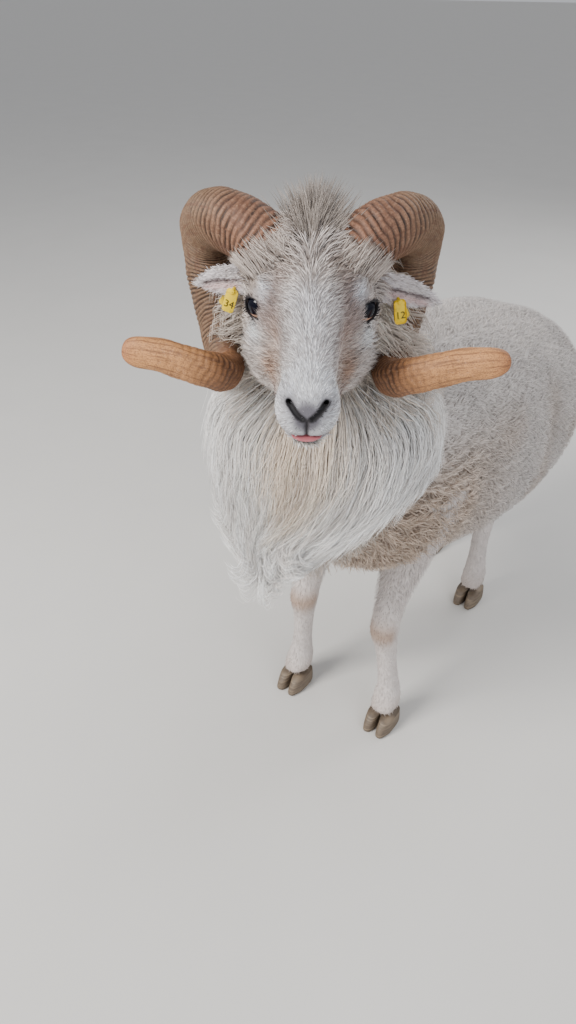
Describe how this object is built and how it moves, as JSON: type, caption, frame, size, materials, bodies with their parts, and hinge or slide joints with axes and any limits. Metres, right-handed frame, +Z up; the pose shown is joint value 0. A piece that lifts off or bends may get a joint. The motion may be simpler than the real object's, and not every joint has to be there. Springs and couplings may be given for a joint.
{
  "type": "ouessant sheep ram model",
  "caption": "Life-size standing Ouessant ram with full spiral horns, long pale ruff, short-shorn body and yellow ear tags, head turned to its left.",
  "frame": {"origin": "on the floor, below the middle of the whole ram's bounding box", "axes": "+Z up, +Y from head to rump along the body, +X to the animal's left"},
  "size_m": [0.3029, 0.7421, 0.6705],
  "materials": {
    "fleece": "short shorn wool, light grey-beige with a tan tinge on the lower shoulder",
    "ruff_hair": "long wavy hair, white with cream below the chin, grey-brown beside the horns",
    "face_hair": "short hair, whitish grey with tan cheeks",
    "leg_hair": "short white hair, tan on the knees",
    "horn": "ringed horn, brown, amber and smoother at the tips",
    "hoof": "dark horn",
    "eye": "wet and dark",
    "tongue": "moist pink",
    "tag_plastic": "yellow moulded plastic"
  },
  "bodies": {
    "root": {"torso": "fleece", "neck": "ruff_hair", "head": "face_hair", "tongue": "tongue", "tail": "fleece", "scrotum": "leg_hair", "leg_front_left": "leg_hair", "hoof_front_left_outer": "hoof", "hoof_front_left_inner": "hoof", "leg_front_right": "leg_hair", "hoof_front_right_outer": "hoof", "hoof_front_right_inner": "hoof", "leg_hind_left": "leg_hair", "hoof_hind_left_outer": "hoof", "hoof_hind_left_inner": "hoof", "leg_hind_right": "leg_hair", "hoof_hind_right_outer": "hoof", "hoof_hind_right_inner": "hoof", "eye_left": "eye", "horn_left": "horn", "ear_left": "face_hair", "ear_tag_left": "tag_plastic", "eye_right": "eye", "horn_right": "horn", "ear_right": "face_hair", "ear_tag_right": "tag_plastic"}
  },
  "joints": []
}
